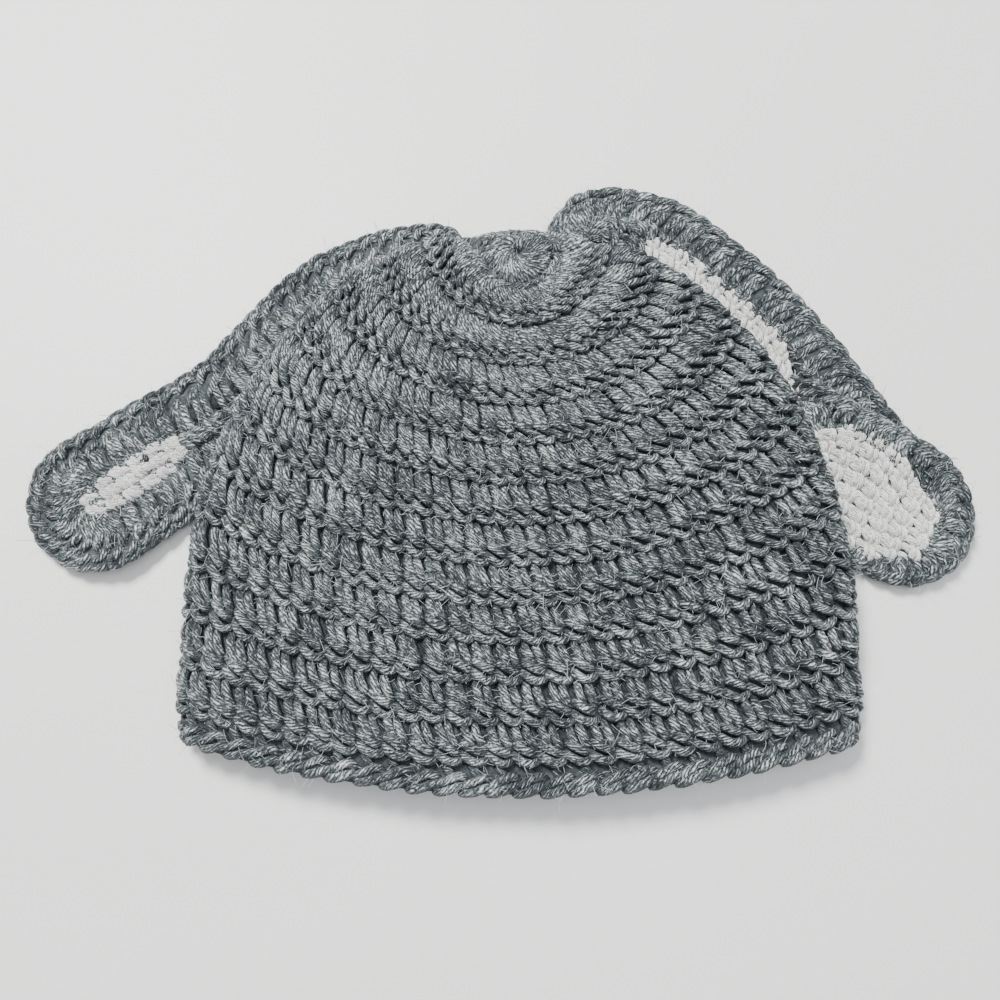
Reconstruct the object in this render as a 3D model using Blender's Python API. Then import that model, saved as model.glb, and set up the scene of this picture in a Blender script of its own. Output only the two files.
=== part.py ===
"""A crocheted baby hat with two long floppy ears, lying flat on a table.

Units are metres, +Z is up and the table is z = 0. The brim points to -Y and the crown to +Y.
The hat is a hollow shell of one fabric, open at the brim. Its lower layer lies on the table
in the middle and over the two ears at the sides. Each ear is a grey fabric with a border and
a recess, and a white panel that lies in the recess.
"""

import math

import bmesh
import bpy
from mathutils import Vector

# Hat sizes
HAT_WIDTH = 0.1828
HAT_LENGTH = 0.1634
FABRIC = 0.0038
HAT_HEIGHT = 0.0150
BRIM_HEIGHT = 0.0134
FOLD_THINNING = 0.26
LEAST_HOLLOW = 0.0008
RIB_DEPTH = 0.0005
SHOULDER_LENGTH = 0.1117
SHOULDER_ROUNDNESS = 2.1

# Ear sizes
EAR_THICKNESS = 0.0055
EAR_BACK = 0.0024
PANEL_THICKNESS = 0.0023
LEFT_EAR_LENGTH = 0.1505
LEFT_EAR_WIDTH = 0.042
LEFT_BORDER = 0.0150
LEAST_PANEL = 0.0035
LEFT_CURL = 0.0022
RIGHT_EAR_LENGTH = 0.158
RIGHT_EAR_WIDTH = 0.056
RIGHT_TIP_LENGTH = 0.068
RIGHT_TIP_WIDTH = 0.041
RIGHT_PANEL_WIDTH = 0.029
PLEAT_RISE = 0.0058
PLEAT_START = 0.0022
PLEAT_SLOPE = 0.0080
CLEARANCE = 0.0003

# How far past an ear's edge the hat stays lifted, and how far it then takes to reach the table
LIFT_MARGIN = 0.015
LIFT_SLOPE = 0.018

# Shares of the left ear's length: where its panel starts, where it starts to curl up at its
# edges, and how far it takes to be fully curled
LEFT_PANEL_FROM = 0.22
CURL_FROM = 0.76
CURL_REACH = 0.14

# Shares of the right ear's widths: how far the upper section's end slants, and for the pleat,
# how far before the tip it fades, where it starts across the tip section and how far it rises
END_SLANT = 0.80
PLEAT_FADE = 0.75
PLEAT_FROM = 0.10
PLEAT_REACH = 0.28

# Loops round a strip from the bottom up, as shares of its thickness: how far in and how high
EDGE_LOOPS = [(0.32, 0.0), (0.10, 0.12), (0.0, 0.36), (0.0, 0.64), (0.10, 0.88), (0.32, 1.0)]
PANEL_LOOPS = [(0.17, 0.0), (0.0, 0.30), (0.0, 0.70), (0.35, 1.0)]

RING_POINTS = 48
EAR_STATIONS = 16
SECTION_STATIONS = 10
TIP_STATIONS = 6
CAP_COLUMNS = 6
ROUND_END_SWEEP = 82

# Rounds of the hat, from the ring at the crown to the brim. front, side and back say how far
# from the crown fold the round lies, as shares of HAT_LENGTH: in the middle of the upper
# layer, at the folded sides and in the middle of the lower layer. bend is 0.5 for a round arc
# and 1 for a flat one, and spread is the round's width as a share of the outline's.
ROUND_COLUMNS = ("front", "side", "back", "bend", "spread")
ROUNDS = [
    (0.207, 0.029, 0.065, 0.50, 1.0),
    (0.280, 0.065, 0.147, 0.52, 1.0),
    (0.353, 0.121, 0.228, 0.58, 1.0),
    (0.424, 0.188, 0.308, 0.65, 1.0),
    (0.494, 0.270, 0.386, 0.72, 1.0),
    (0.564, 0.359, 0.464, 0.80, 1.0),
    (0.632, 0.451, 0.540, 0.90, 1.0),
    (0.699, 0.543, 0.616, 1.00, 1.0),
    (0.760, 0.628, 0.691, 1.00, 1.0),
    (0.824, 0.711, 0.764, 1.00, 1.006),
    (0.890, 0.791, 0.837, 1.00, 1.01),
    (0.954, 0.867, 0.907, 1.00, 1.01),
    (1.000, 0.919, 0.953, 1.00, 0.985),
]
# The first round is a disc on the upper layer that reaches the crown fold.
POLE = 0.058
FIRST_ROUND = 0.077
FIRST_BACK = 0.038
FOLD_HALF_WIDTH = 0.200

# Ear routes: where each middle line runs from its base at the crown, as shares of the ear's
# length, and how wide the ear is there, as a share of its full width.
EAR_COLUMNS = ("x", "y", "width")
LEFT_BASE = (-0.174, 0.925)
LEFT_ROUTE = [
    (0.000, 0.000, 0.38),
    (-0.045, -0.012, 0.66),
    (-0.120, -0.048, 0.86),
    (-0.240, -0.110, 0.90),
    (-0.330, -0.206, 0.92),
    (-0.434, -0.328, 0.92),
    (-0.572, -0.424, 0.95),
    (-0.681, -0.505, 1.00),
]
RIGHT_BASE = (0.134, 0.924)
RIGHT_ROUTE = [
    (0.000, 0.000, 0.26),
    (0.030, 0.010, 0.54),
    (0.076, 0.012, 0.80),
    (0.146, -0.025, 0.96),
    (0.210, -0.084, 1.00),
    (0.332, -0.208, 1.00),
    (0.478, -0.425, 1.00),
]
# The tip section starts under the hat, at these shares of the half width and half length.
RIGHT_TIP_START = (0.728, 0.270)
RIGHT_TIP_ROUTE = [
    (0.000, 0.000, 0.96),
    (0.323, -0.215, 1.00),
    (0.622, -0.390, 1.00),
]
# The white panel of the right ear runs through both sections.
RIGHT_PANEL_START = (0.350, 0.870)
RIGHT_PANEL_ROUTE = [
    (0.000, 0.000, 0.62),
    (0.085, -0.063, 0.72),
    (0.207, -0.187, 0.74),
    (0.295, -0.290, 0.74),
    (0.360, -0.385, 0.90),
    (0.435, -0.463, 1.00),
]

GREY = (0.155, 0.190, 0.195)
WHITE = (0.760, 0.750, 0.700)


def smooth(share):
    """0 below 0, 1 above 1, with a soft start and end between."""
    share = min(max(share, 0.0), 1.0)
    return share * share * (3.0 - 2.0 * share)


def hat_place(start):
    """A point given as shares of half the hat's width and half its length."""
    return Vector((start[0] * HAT_WIDTH / 2, start[1] * HAT_LENGTH / 2))


class Route:
    """A smooth middle line through an ear, with its half width along it."""

    STEPS = 12

    def __init__(self, base, rows, length, width):
        stations = [dict(zip(EAR_COLUMNS, row)) for row in rows]
        points = [base + Vector((station["x"], station["y"])) * length for station in stations]
        shares = [station["width"] for station in stations]
        self.half_width = width / 2
        self.points, self.widths = [], []
        for i in range(len(points) - 1):
            before = points[max(i - 1, 0)]
            after = points[min(i + 2, len(points) - 1)]
            for step in range(self.STEPS):
                t = step / self.STEPS
                self.points.append(self.between(before, points[i], points[i + 1], after, t))
                self.widths.append(shares[i] + (shares[i + 1] - shares[i]) * t)
        self.points.append(points[-1])
        self.widths.append(shares[-1])
        self.along = [0.0]
        for a, b in zip(self.points, self.points[1:]):
            self.along.append(self.along[-1] + (b - a).length)
        self.length = self.along[-1]

    @staticmethod
    def between(before, start, end, after, t):
        """A point on the smooth curve from start to end."""
        leave, arrive = (end - before) / 2, (after - start) / 2
        cube, square = t * t * t, t * t
        return (
            start * (2 * cube - 3 * square + 1)
            + leave * (cube - 2 * square + t)
            + end * (3 * square - 2 * cube)
            + arrive * (cube - square)
        )

    def at(self, distance):
        """The point and the direction at this distance along the line, or past its end."""
        i = 0
        while i < len(self.along) - 2 and self.along[i + 1] < distance:
            i += 1
        piece = self.points[i + 1] - self.points[i]
        return self.points[i] + piece.normalized() * (distance - self.along[i]), piece.normalized()

    def half_width_at(self, distance):
        i = 0
        while i < len(self.along) - 2 and self.along[i + 1] < distance:
            i += 1
        share = (distance - self.along[i]) / (self.along[i + 1] - self.along[i])
        share = min(max(share, 0.0), 1.0)
        return (self.widths[i] + (self.widths[i + 1] - self.widths[i]) * share) * self.half_width

    def edge_distance(self, x, y):
        """How far a point lies outside the strip's edge, negative inside it."""
        spot = Vector((x, y))
        return min(
            (spot - point).length - width * self.half_width
            for point, width in zip(self.points, self.widths)
        )


LEFT = Route(hat_place(LEFT_BASE), LEFT_ROUTE, LEFT_EAR_LENGTH, LEFT_EAR_WIDTH)
RIGHT = Route(hat_place(RIGHT_BASE), RIGHT_ROUTE, RIGHT_EAR_LENGTH, RIGHT_EAR_WIDTH)
RIGHT_TIP = Route(
    hat_place(RIGHT_TIP_START), RIGHT_TIP_ROUTE, RIGHT_TIP_LENGTH, RIGHT_TIP_WIDTH
)
RIGHT_PANEL = Route(
    hat_place(RIGHT_PANEL_START), RIGHT_PANEL_ROUTE, RIGHT_EAR_LENGTH, RIGHT_PANEL_WIDTH
)


def outline_ratio(x, y):
    """0 at the middle of the hat and 1 on its outline seen from above."""
    shoulder = max(y - (HAT_LENGTH / 2 - SHOULDER_LENGTH), 0.0) / SHOULDER_LENGTH
    across = abs(x) / (HAT_WIDTH / 2)
    power = SHOULDER_ROUNDNESS
    return (across**power + shoulder**power) ** (1 / power)


def outline_half_width(y):
    """The hat's half width at this y, from its outline seen from above."""
    shoulder = max(y - (HAT_LENGTH / 2 - SHOULDER_LENGTH), 0.0) / SHOULDER_LENGTH
    power = SHOULDER_ROUNDNESS
    return HAT_WIDTH / 2 * max(1 - shoulder**power, 0.0) ** (1 / power)


def outline_y(x):
    """The y of the crown fold at this x, from the hat's outline seen from above."""
    power = SHOULDER_ROUNDNESS
    share = (1 - (abs(x) / (HAT_WIDTH / 2)) ** power) ** (1 / power)
    return HAT_LENGTH / 2 - SHOULDER_LENGTH * (1 - share)


def underside(x, y):
    """Height of the lower layer's outside: on the table, or lifted over an ear."""
    reach = min(route.edge_distance(x, y) for route in (LEFT, RIGHT, RIGHT_TIP))
    share = 1 - (reach - LIFT_MARGIN) / LIFT_SLOPE
    return (EAR_THICKNESS + CLEARANCE) * smooth(share)


def topside(x, y, low):
    """Height of the upper layer's outside, over a lower layer at the height low."""
    to_brim = smooth((HAT_LENGTH / 2 - y) / HAT_LENGTH)
    height = HAT_HEIGHT + (BRIM_HEIGHT - HAT_HEIGHT) * to_brim
    height *= 1 - FOLD_THINNING * (abs(x) / (HAT_WIDTH / 2)) ** 4
    return max(height, low + 2 * FABRIC + LEAST_HOLLOW)


def shell_point(x, y, upper, depth, rib, spread=1.0):
    """A point of the shell over (x, y), on its outside at depth 0 or inside at depth FABRIC."""
    low = underside(x, y)
    high = topside(x, y, low) - depth
    low += depth
    ratio = min(max(outline_ratio(x / spread, y), 1e-6), 1.0)
    middle = Vector((0.0, min(y, HAT_LENGTH / 2 - SHOULDER_LENGTH)))
    spoke = Vector((x, y)) - middle
    full = spoke.length / ratio if spoke.length > 1e-6 else HAT_WIDTH / 2 * spread
    place = middle + spoke * (1 - depth / full)
    to_edge = (full - depth) * (1 - ratio)
    radius = (high - low) / 2
    rise = radius
    if to_edge < radius:
        rise = math.sqrt(max(radius**2 - (radius - to_edge) ** 2, 0.0))
    z = (low + high) / 2 + (rise if upper else -rise)
    if upper and not depth:
        z -= rib * rise / radius
    return Vector((place.x, place.y, z))


def ring_shape(position):
    """The table's row at this position, with a share of the next row when it lies between."""
    i = min(int(position), len(ROUNDS) - 2)
    t = position - i
    values = [a + (b - a) * t for a, b in zip(ROUNDS[i], ROUNDS[i + 1])]
    return dict(zip(ROUND_COLUMNS, values))


def hat_ring(position, depth):
    """One closed loop of the shell, from the left fold over the upper layer and back below."""
    shape = ring_shape(position)
    top = HAT_LENGTH / 2
    side_y = top - shape["side"] * HAT_LENGTH
    half = outline_half_width(side_y) * shape["spread"]
    rib = RIB_DEPTH if abs(position - round(position)) < 0.01 else 0.0
    loop = []
    for k in range(RING_POINTS):
        angle = 2 * math.pi * k / RING_POINTS
        upper = k <= RING_POINTS // 2
        middle_y = top - shape["front" if upper else "back"] * HAT_LENGTH
        x = -math.cos(angle) * half
        arc = abs(math.sin(angle)) ** (2 * shape["bend"])
        y = side_y + (middle_y - side_y) * arc
        loop.append(shell_point(x, y, upper, depth, rib, shape["spread"]))
    return loop


def crown_ring(share, depth):
    """A loop round the pole. Its far side reaches the first round's edge at share 1."""
    pole_y = HAT_LENGTH / 2 - POLE * HAT_LENGTH
    front = FIRST_ROUND * HAT_LENGTH * share
    back = FIRST_BACK * HAT_LENGTH * share
    rib = RIB_DEPTH if share == 1 else 0.0
    loop = []
    for k in range(RING_POINTS):
        angle = 2 * math.pi * k / RING_POINTS
        reach = front if k <= RING_POINTS // 2 else back
        x = -math.cos(angle) * front
        loop.append(shell_point(x, pole_y - math.sin(angle) * reach, True, depth, rib))
    return loop


def fold_ring(depth):
    """A loop between the first and second rounds, whose far side runs along the crown fold."""
    top = HAT_LENGTH / 2
    half = FOLD_HALF_WIDTH * HAT_WIDTH / 2
    side_y = outline_y(half)
    front_y = top - (POLE + FIRST_ROUND + ROUNDS[0][0]) / 2 * HAT_LENGTH
    loop = []
    for k in range(RING_POINTS):
        angle = 2 * math.pi * k / RING_POINTS
        x = -math.cos(angle) * half
        if k <= RING_POINTS // 2:
            y = side_y + (front_y - side_y) * math.sin(angle)
        else:
            y = outline_y(x)
        loop.append(shell_point(x, y, True, depth, 0.0))
    return loop


def add_loop(bm, points):
    return [bm.verts.new(point) for point in points]


def skin(bm, first, second):
    """Faces between two closed loops with as many points each."""
    count = len(first)
    for k in range(count):
        after = (k + 1) % count
        bm.faces.new((first[k], first[after], second[after], second[k]))


def hat_shell(bm, depth, steps):
    """The shell's outside or inside, from the crown to the brim. Returns its last loop."""
    pole_y = HAT_LENGTH / 2 - POLE * HAT_LENGTH
    pole = bm.verts.new(shell_point(0.0, pole_y, True, depth, 0.0))
    loops = [crown_ring(share, depth) for share in (0.5, 1.0)] + [fold_ring(depth)]
    positions = [step / steps for step in range((len(ROUNDS) - 1) * steps + 1)]
    loops += [hat_ring(position, depth) for position in positions]
    verts = [add_loop(bm, loop) for loop in loops]
    for k in range(RING_POINTS):
        bm.faces.new((pole, verts[0][(k + 1) % RING_POINTS], verts[0][k]))
    for first, second in zip(verts, verts[1:]):
        skin(bm, first, second)
    return verts[-1]


def strip_loops(route, inset, start, stations, tip, slant):
    """Left and right edges of an ear strip, as distances along and across its route.

    A tip above 0 is the radius of a round end, which is past the route's own end. A slant
    leaves the end straight and lets the left edge run on and the right edge stop short.
    """
    left, right = [], []
    last = route.length
    for i in range(stations + 1):
        share = i / stations
        for side, edge in ((1, left), (-1, right)):
            reach = last + side * slant / 2 - (0.0 if tip else inset)
            along = start + inset + (reach - start - inset) * share
            edge.append((along, side * (route.half_width_at(along) - inset)))
    radius = tip - inset
    for i in range(1, TIP_STATIONS + 1 if tip else 0):
        angle = math.radians(ROUND_END_SWEEP) * i / TIP_STATIONS
        for side, edge in ((1, left), (-1, right)):
            edge.append((last + radius * math.sin(angle), side * radius * math.cos(angle)))
    return left + right[::-1]


def fill_strip(bm, edges, loop, place, height):
    """Fills a loop of a strip with rows of faces that run across it."""
    count = len(edges)
    rows = []
    for k in range(1, count // 2 - 1):
        left, right = edges[k], edges[count - 1 - k]
        row = [loop[k]]
        for step in range(1, CAP_COLUMNS):
            share = step / CAP_COLUMNS
            along = left[0] + (right[0] - left[0]) * share
            across = left[1] + (right[1] - left[1]) * share
            row.append(bm.verts.new(place(along, across, height)))
        rows.append(row + [loop[count - 1 - k]])
    for first, second in zip(rows, rows[1:]):
        for k in range(CAP_COLUMNS):
            bm.faces.new((first[k], first[k + 1], second[k + 1], second[k]))
    bm.faces.new([loop[0], *rows[0], loop[-1]])
    bm.faces.new([loop[count // 2 - 1], *rows[-1], loop[count // 2]])


def strip_solid(name, route, profile, lift, start=0.0, tip=0.0, slant=0.0, stations=EAR_STATIONS):
    """A closed strip along a route. profile lists the inset and height of each loop from the
    bottom up, and lift(along, across) raises the strip off the table."""

    def place(along, across, height):
        point, heading = route.at(along)
        spot = point + Vector((-heading.y, heading.x)) * across
        return Vector((spot.x, spot.y, height + lift(along, across)))

    bm = bmesh.new()
    edges = [strip_loops(route, inset, start, stations, tip, slant) for inset, _ in profile]
    heights = [height for _, height in profile]
    loops = [add_loop(bm, [place(*e, z) for e in edge]) for edge, z in zip(edges, heights)]
    for first, second in zip(loops, loops[1:]):
        skin(bm, first, second)
    for end in (0, -1):
        fill_strip(bm, edges[end], loops[end], place, heights[end])
    return finish_mesh(name, bm)


def finish_mesh(name, bm):
    """Makes an object of a closed bmesh, faces out."""
    bmesh.ops.recalc_face_normals(bm, faces=bm.faces)
    mesh = bpy.data.meshes.new(name)
    bm.to_mesh(mesh)
    bm.free()
    mesh.shade_smooth()
    return bpy.data.objects.new(name, mesh)


def level(along, across):
    """A strip that lies flat on the table."""
    return 0.0


def left_lift(along, across):
    """The left ear curls up at both edges once it is past the hat's side."""
    past_hat = smooth((along / LEFT_EAR_LENGTH - CURL_FROM) / CURL_REACH)
    return LEFT_CURL * past_hat * (across / (LEFT_EAR_WIDTH / 2)) ** 2


def tip_lift(along, across):
    """The right ear's tip section lies over the end of the upper section at its left edge."""
    point, heading = RIGHT_TIP.at(along)
    place = point + Vector((-heading.y, heading.x)) * across
    past_hat = smooth((place.x - outline_half_width(place.y) - PLEAT_START) / PLEAT_SLOPE)
    left_over = RIGHT_TIP.length + RIGHT_TIP_WIDTH / 2 - along
    to_tip = smooth(left_over / (PLEAT_FADE * RIGHT_TIP_WIDTH))
    to_edge = smooth((across / RIGHT_TIP_WIDTH - PLEAT_FROM) / PLEAT_REACH)
    return PLEAT_RISE * past_hat * to_tip * to_edge


def ear_profile():
    """Insets and heights of an ear's soft edge."""
    return [(inset * EAR_THICKNESS, height * EAR_THICKNESS) for inset, height in EDGE_LOOPS]


def panel_profile():
    """Insets and heights of a white panel, which lies on the ear's back."""
    low = EAR_BACK + CLEARANCE
    thick = PANEL_THICKNESS
    return [(inset * thick, low + height * thick) for inset, height in PANEL_LOOPS]


def recess_profile():
    """Insets and heights of the cut that a panel lies in, a clearance wider than the panel."""
    return [(-CLEARANCE, EAR_BACK), (-CLEARANCE, EAR_THICKNESS + CLEARANCE)]


def add_boolean(obj, other, operation):
    modifier = obj.modifiers.new(operation.title() + " " + other.name, "BOOLEAN")
    modifier.operation = operation
    modifier.object = other


def fabric_material(name, colour):
    material = bpy.data.materials.new(name)
    material.use_nodes = True
    shader = material.node_tree.nodes["Principled BSDF"]
    shader.inputs["Base Color"].default_value = (*colour, 1.0)
    shader.inputs["Roughness"].default_value = 0.85
    shader.inputs["Metallic"].default_value = 0.0
    material.diffuse_color = (*colour, 1.0)
    return material


def build_hat():
    bm = bmesh.new()
    outside = hat_shell(bm, 0.0, 2)
    inside = hat_shell(bm, FABRIC, 1)
    skin(bm, outside, inside)
    return finish_mesh("hat_body", bm)


def build_left_ear():
    tip = LEFT_EAR_WIDTH / 2
    back = strip_solid("left_ear_back", LEFT, ear_profile(), left_lift, tip=tip)
    narrow = Route(hat_place(LEFT_BASE), LEFT_ROUTE, LEFT_EAR_LENGTH, LEFT_EAR_WIDTH)
    narrow.widths = [max(w * tip - LEFT_BORDER, LEAST_PANEL) / tip for w in narrow.widths]
    end = tip - LEFT_BORDER
    start = LEFT_PANEL_FROM * LEFT_EAR_LENGTH
    front = strip_solid("left_ear_front", narrow, panel_profile(), left_lift, start=start, tip=end)
    cut = strip_solid("left_panel_cut", narrow, recess_profile(), left_lift, start=start, tip=end)
    add_boolean(back, cut, "DIFFERENCE")
    return [back, front], [cut]


def build_right_ear():
    profile = ear_profile()
    slant = END_SLANT * RIGHT_EAR_WIDTH
    back = strip_solid("right_ear_back", RIGHT, profile, level, slant=slant)
    end = RIGHT_TIP_WIDTH / 2
    tip = strip_solid("right_tip_section", RIGHT_TIP, profile, tip_lift, tip=end, stations=SECTION_STATIONS)
    end = RIGHT_PANEL_WIDTH / 2
    front = strip_solid("right_ear_front", RIGHT_PANEL, panel_profile(), level, tip=end)
    cut = strip_solid("right_panel_cut", RIGHT_PANEL, recess_profile(), level, tip=end)
    add_boolean(back, tip, "UNION")
    add_boolean(back, cut, "DIFFERENCE")
    return [back, front], [tip, cut]


def main():
    for obj in list(bpy.data.objects):
        bpy.data.objects.remove(obj, do_unlink=True)
    parts = bpy.data.collections.new("baby_hat_with_ears")
    helpers = bpy.data.collections.new("cutters")
    for collection in (parts, helpers):
        bpy.context.scene.collection.children.link(collection)
    grey = fabric_material("grey_yarn", GREY)
    white = fabric_material("white_yarn", WHITE)
    left, left_helpers = build_left_ear()
    right, right_helpers = build_right_ear()
    for obj in [build_hat(), *left, *right]:
        obj.data.materials.append(white if obj.name.endswith("front") else grey)
        parts.objects.link(obj)
    for obj in left_helpers + right_helpers:
        obj.hide_render = True
        obj.display_type = "WIRE"
        helpers.objects.link(obj)


main()
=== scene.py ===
"""A crocheted baby hat with two long floppy ears, lying flat on a pale counter.

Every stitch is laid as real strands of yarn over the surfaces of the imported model.
"""
import math
import random

import bmesh
import bpy
import numpy as np
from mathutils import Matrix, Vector
from mathutils.bvhtree import BVHTree


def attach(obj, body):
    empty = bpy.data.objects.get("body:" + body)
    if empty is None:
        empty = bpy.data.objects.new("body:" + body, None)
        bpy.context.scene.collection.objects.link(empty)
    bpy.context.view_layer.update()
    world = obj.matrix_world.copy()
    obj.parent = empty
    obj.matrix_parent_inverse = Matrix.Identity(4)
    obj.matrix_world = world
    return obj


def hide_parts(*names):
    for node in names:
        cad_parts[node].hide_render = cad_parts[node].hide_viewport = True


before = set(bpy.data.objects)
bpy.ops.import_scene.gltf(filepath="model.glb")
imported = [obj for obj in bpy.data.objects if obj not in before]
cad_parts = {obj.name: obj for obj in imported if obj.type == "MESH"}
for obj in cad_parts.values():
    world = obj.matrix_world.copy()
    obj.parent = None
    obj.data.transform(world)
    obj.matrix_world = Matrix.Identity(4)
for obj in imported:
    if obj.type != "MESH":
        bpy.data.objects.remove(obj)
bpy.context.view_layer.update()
MM = 0.001

# Hat and ear sizes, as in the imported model
HAT_WIDTH, HAT_LENGTH = 0.1828, 0.1634
FABRIC, HAT_HEIGHT, BRIM_HEIGHT = 0.0038, 0.0150, 0.0134
FOLD_THINNING, LEAST_HOLLOW = 0.26, 0.0008
SHOULDER_LENGTH, SHOULDER_ROUNDNESS = 0.1117, 2.1
EAR_THICKNESS, EAR_BACK, PANEL_THICKNESS = 0.0055, 0.0024, 0.0023
LEFT_EAR_LENGTH, LEFT_EAR_WIDTH, LEFT_CURL = 0.1505, 0.042, 0.0022
CURL_FROM, CURL_REACH = 0.76, 0.14
RIGHT_EAR_LENGTH, RIGHT_EAR_WIDTH = 0.158, 0.056
RIGHT_TIP_LENGTH, RIGHT_TIP_WIDTH, RIGHT_PANEL_WIDTH = 0.068, 0.041, 0.029
PLEAT_RISE, PLEAT_START, PLEAT_SLOPE = 0.0058, 0.0022, 0.0080
PLEAT_FADE, PLEAT_FROM, PLEAT_REACH = 0.75, 0.10, 0.28

# Rounds of the hat, as shares of its length below the crown fold: front, side, back, bend, spread
ROUNDS = np.array([
    (0.207, 0.029, 0.065, 0.50, 1.0),
    (0.280, 0.065, 0.147, 0.52, 1.0),
    (0.353, 0.121, 0.228, 0.58, 1.0),
    (0.424, 0.188, 0.308, 0.65, 1.0),
    (0.494, 0.270, 0.386, 0.72, 1.0),
    (0.564, 0.359, 0.464, 0.80, 1.0),
    (0.632, 0.451, 0.540, 0.90, 1.0),
    (0.699, 0.543, 0.616, 1.00, 1.0),
    (0.760, 0.628, 0.691, 1.00, 1.0),
    (0.824, 0.711, 0.764, 1.00, 1.006),
    (0.890, 0.791, 0.837, 1.00, 1.01),
    (0.954, 0.867, 0.907, 1.00, 1.01),
    (1.000, 0.919, 0.953, 1.00, 0.985),
])
POLE, FIRST_ROUND, FIRST_BACK, FOLD_HALF_WIDTH = 0.058, 0.077, 0.038, 0.200
TALL_ROUNDS = 13

# Spots beside the crown where the ears are sewn on, and how deep and wide the cloth is pinched there
GATHERS = [(-0.0117, 0.0729), (0.0143, 0.0706)]
GATHER_DEPTH, GATHER_REACH = 0.0048, 0.0045

# How finely the cloths are laid out
RING_STEPS = 240
HAT_COLUMNS, HAT_ROW_STEPS, HAT_SMOOTHINGS = 256, 4, 3
CROWN_HOLE = 0.06
BORDER_COLUMNS, BORDER_ROWS, BORDER_FROM_ROW, BORDER_TO_ROW = 200, 45, -0.2, 2.0
EDGE_STATIONS, TIP_TURNS = 60, 30
PANEL_COLUMNS, PANEL_STEPS = 24, 60

# Rays that look for the hat's lower layer start under it, no nearer its outline or its brim than this
RAY_START, FARTHEST_OUT, LOWEST_RAY = -0.01, 0.90, 0.0635

# Middle lines of the ears: x and y as shares of the ear's length, and the share of its width
LEFT_BASE = (-0.174, 0.925)
LEFT_ROUTE = [
    (0.000, 0.000, 0.38),
    (-0.045, -0.012, 0.66),
    (-0.120, -0.048, 0.86),
    (-0.240, -0.110, 0.90),
    (-0.330, -0.206, 0.92),
    (-0.434, -0.328, 0.92),
    (-0.572, -0.424, 0.95),
    (-0.681, -0.505, 1.00),
]
RIGHT_BASE = (0.134, 0.924)
RIGHT_ROUTE = [
    (0.000, 0.000, 0.26),
    (0.030, 0.010, 0.54),
    (0.076, 0.012, 0.80),
    (0.146, -0.025, 0.96),
    (0.210, -0.084, 1.00),
    (0.332, -0.208, 1.00),
    (0.478, -0.425, 1.00),
]
RIGHT_TIP_START = (0.728, 0.270)
RIGHT_TIP_ROUTE = [
    (0.000, 0.000, 0.96),
    (0.323, -0.215, 1.00),
    (0.622, -0.390, 1.00),
]
RIGHT_PANEL_START = (0.350, 0.870)
RIGHT_PANEL_ROUTE = [
    (0.000, 0.000, 0.62),
    (0.085, -0.063, 0.72),
    (0.207, -0.187, 0.74),
    (0.295, -0.290, 0.74),
    (0.360, -0.385, 0.90),
    (0.435, -0.463, 1.00),
]

# Borders and panels of the ears. A border without a tip runs on past its line's end
PAST_END = 0.014
LEFT_PANEL_START, LEFT_PANEL_PAST = 0.1020, 0.0045
LEFT_GAP, LEFT_GAP_SWELL, LEFT_BORDER_SHORT, LEFT_PANEL_LAP = 0.0008, 0.0038, 0.0012, 0.0016
LEFT_TIP_BORDER, LEFT_FILL, LEFT_FILL_START = 0.0168, 0.0032, 0.004
RIGHT_BORDER, RIGHT_TIP_BORDER, RIGHT_TIP_INNER_BORDER = 0.0128, 0.0105, 0.0042
TIP_SIDE_BORDER, TIP_SIDE_SWELL, TIP_SWELL_FROM, TIP_SWELL_REACH = 0.0085, 0.0015, 0.036, 0.012
RIGHT_FILL_SHORT, RIGHT_FILL_INNER, RIGHT_FILL_ROWS = 0.011, -0.004, (0.002, 0.0245)
TIP_FILL_EDGES, TIP_FILL_ROWS = (0.0155, -0.006), (-0.003, 0.0185)
STRIP_LENGTH, STRIP_FLAT_WIDTH, STRIP_LAP = 0.0665, 0.0255, 0.0052
STRIP_TAPER, STRIP_TAPER_FROM, STRIP_TAPER_REACH = 0.0085, 0.044, 0.020
TIP_PANEL_START, TIP_PANEL_PAST = 0.0125, 0.0090
PANEL_LIFT_FROM, PANEL_LIFT_REACH = -0.006, 0.026

# The tip's white panel: how far it reaches to the left of the line at distances along it, and to
# the right, where it is drawn in towards the end
TIP_PANEL_ROWS = (0.010, 0.018, 0.026, 0.036, 0.044, 0.051, 0.059)
TIP_PANEL_LEFT = (0.0030, 0.0080, 0.0145, 0.0155, 0.0125, 0.0080, 0.0040)
TIP_PANEL_RIGHT, TIP_PANEL_DRAWN_IN = -0.0175, 0.0055
DRAWN_IN_FROM, DRAWN_IN_REACH = 0.046, 0.012

# A panel's top is a little crowned, and falls off at its edges
PANEL_TOP = EAR_BACK + PANEL_THICKNESS + 0.0002
PANEL_CROWN, PANEL_FALL = 0.4 * MM, 1.0 * MM

# Yarn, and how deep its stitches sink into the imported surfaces. The crown's rounds sink less, and
# the lower layer's strands stand out less. LEAST_HEIGHT keeps them off the floor, in radii
YARN_RADIUS = 1.34 * MM
BORDER_YARN_RADIUS = 1.5 * MM
PANEL_YARN_RADIUS = 1.05 * MM
STITCH_SINK, PANEL_SINK, FILL_SINK = 1.5 * MM, 0.8 * MM, 0.7 * MM
CROWN_ROUNDS, CROWN_STEP = 2, 0.0002
BACK_OUT = 0.7
PATH_STEPS = 2
LEAST_HEIGHT = 0.98
THICKNESSES = (0.92, 1.08)
PLIES, PLY_LAY = 8, 10.5

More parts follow.
